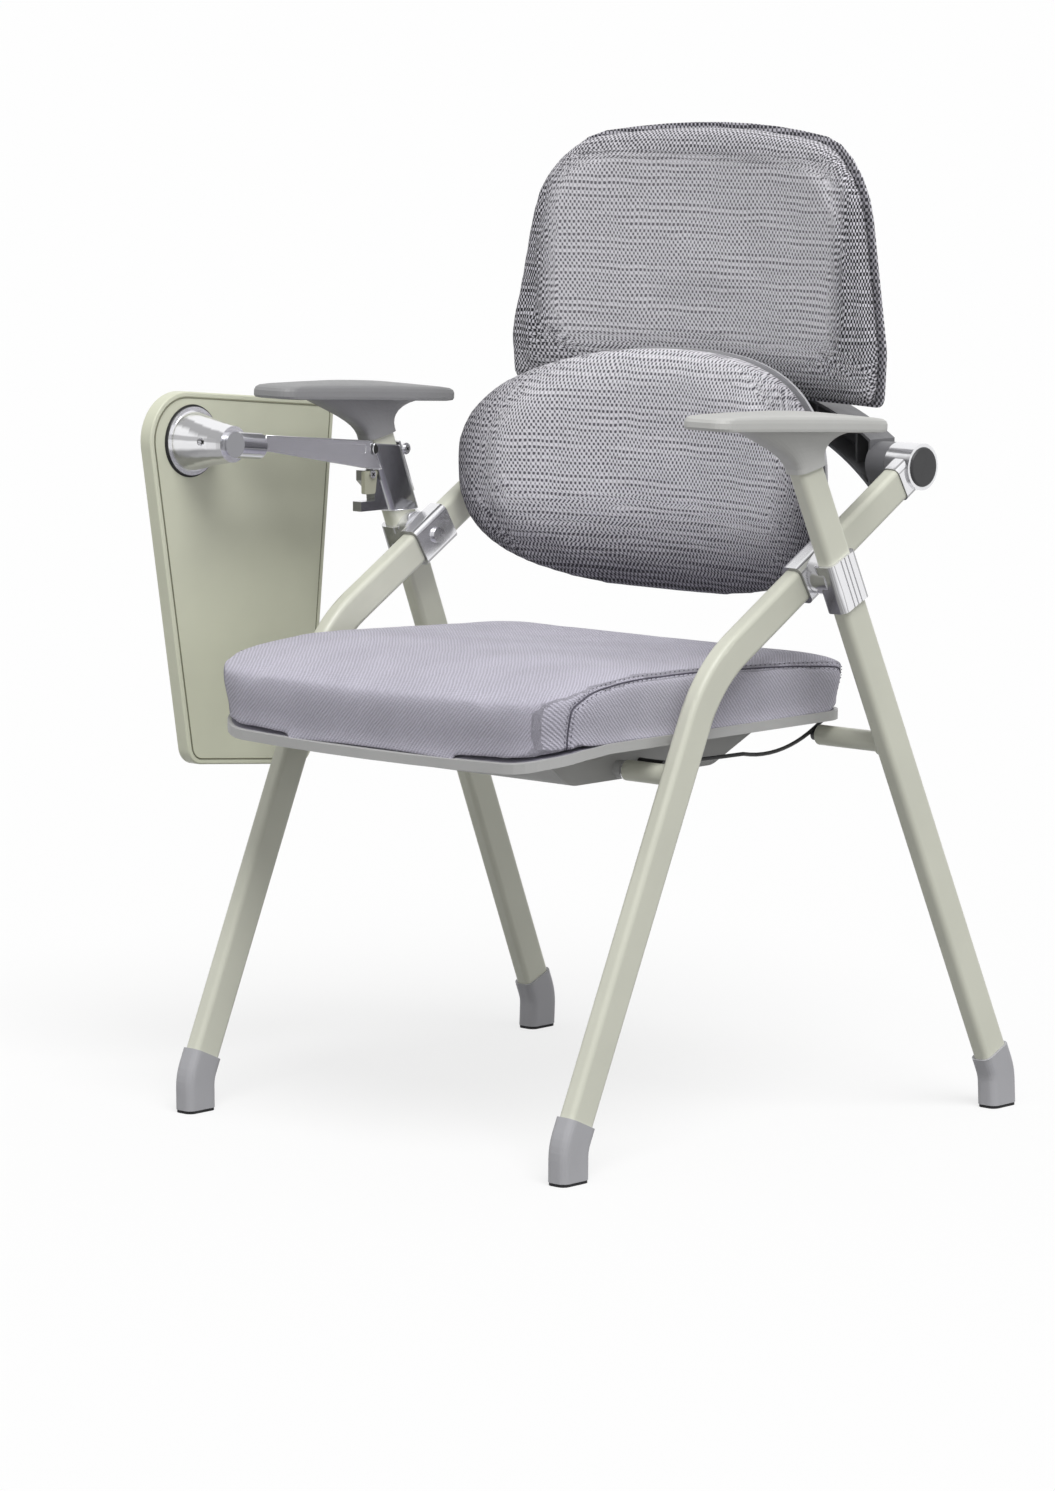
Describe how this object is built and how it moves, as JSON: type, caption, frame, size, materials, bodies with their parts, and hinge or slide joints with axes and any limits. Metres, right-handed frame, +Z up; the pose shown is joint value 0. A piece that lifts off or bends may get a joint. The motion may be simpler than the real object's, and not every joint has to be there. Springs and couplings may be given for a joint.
{
  "type": "training chair",
  "caption": "Folding training chair with a sprung back, armrests and a writing tablet that swings up from the side.",
  "frame": {"origin": "floor level, under the middle of the whole chair", "axes": "+Z up, the chair faces -Y, +X to the sitter's left"},
  "size_m": [0.7029, 0.6032, 0.9691],
  "materials": {
    "tube_paint": "satin",
    "aluminium": "polished",
    "steel": "polished",
    "foot_plastic": "matte",
    "rubber": "matte",
    "cap_plastic": "satin",
    "arm_light": "matte",
    "arm_dark": "matte",
    "tablet_sage": "satin",
    "tablet_band": "satin",
    "pan_plastic": "matte",
    "plywood": "matte",
    "mesh": "woven",
    "yoke_plastic": "satin",
    "shell_plastic": "matte",
    "rod_steel": "satin"
  },
  "bodies": {
    "front_frame": {"front_tube_left": "tube_paint", "front_tube_right": "tube_paint", "front_foot_left": "foot_plastic", "front_foot_right": "foot_plastic", "front_soles": "rubber", "front_stub_left": "tube_paint", "front_stub_right": "tube_paint", "inner_clamp_left": "aluminium", "inner_clamp_right": "aluminium", "pivot_bolts": "steel", "hub_left": "aluminium", "hub_right": "aluminium", "hub_caps": "cap_plastic", "back_pivot_pins": "steel", "seat_pivot_pins": "steel"},
    "rear_frame": {"rear_tube_left": "tube_paint", "rear_tube_right": "tube_paint", "rear_foot_left": "foot_plastic", "rear_foot_right": "foot_plastic", "rear_soles": "rubber", "rear_stub_left": "tube_paint", "rear_stub_right": "tube_paint", "outer_clamp_left": "aluminium", "outer_clamp_right": "aluminium", "guide_rollers": "cap_plastic", "armrest_stalk_left": "arm_light", "armrest_stalk_right": "arm_dark", "armrest_pad_left": "arm_light", "armrest_pad_right": "arm_dark", "tablet_arm": "aluminium", "tablet_casting": "aluminium", "casting_clamp": "aluminium", "casting_screw": "steel", "latch_hook": "aluminium", "latch_screw": "steel"},
    "seat": {"seat_pan": "pan_plastic", "seat_board": "plywood", "seat_cushion": "mesh", "guide_rods": "rod_steel"},
    "back": {"back_yoke": "yoke_plastic", "back_shell": "shell_plastic", "upper_back_pad": "mesh", "lumbar_shell": "yoke_plastic", "lumbar_pad": "mesh", "lumbar_brackets": "yoke_plastic"},
    "tablet_hinge": {"tablet_knuckle": "aluminium"},
    "tablet": {"tablet_cone": "aluminium", "cone_screw": "steel", "tablet_board": "tablet_sage", "tablet_edge": "tablet_band"},
    "latch": {"latch_lever": "tablet_sage"}
  },
  "joints": [
    {"name": "frame_fold", "type": "hinge", "parent": "front_frame", "child": "rear_frame", "pos_m": [0.02647, 0.05841, 0.549], "axis": [-1, 0, 0], "range_deg": [0, 32]},
    {"name": "seat_pitch", "type": "hinge", "parent": "front_frame", "child": "seat", "pos_m": [0.02647, -0.12459, 0.367], "axis": [1, 0, 0], "range_deg": [0, 2]},
    {"name": "back_tilt", "type": "hinge", "parent": "front_frame", "child": "back", "pos_m": [0.02647, 0.20927, 0.63965], "axis": [-1, 0, 0], "range_deg": [0, 12], "stiffness_Nm_per_rad": 90, "springref_deg": -5.73},
    {"name": "tablet_flip", "type": "hinge", "parent": "rear_frame", "child": "tablet_hinge", "pos_m": [-0.25653, -0.17359, 0.6525], "axis": [0, -0.9951, 0.0993], "range_deg": [-90, 0]},
    {"name": "tablet_turn", "type": "hinge", "parent": "tablet_hinge", "child": "tablet", "pos_m": [-0.25653, -0.17359, 0.6525], "axis": [-1, 0, 0], "range_deg": [0, 180]},
    {"name": "tablet_latch", "type": "hinge", "parent": "rear_frame", "child": "latch", "pos_m": [-0.25653, -0.00359, 0.613], "axis": [-1, 0, 0], "range_deg": [0, 15], "stiffness_Nm_per_rad": 0.2, "springref_deg": -11.46}
  ],
  "couplings": [
    {"joint": "seat_pitch", "follows": "frame_fold", "ratio": 0.05}
  ]
}
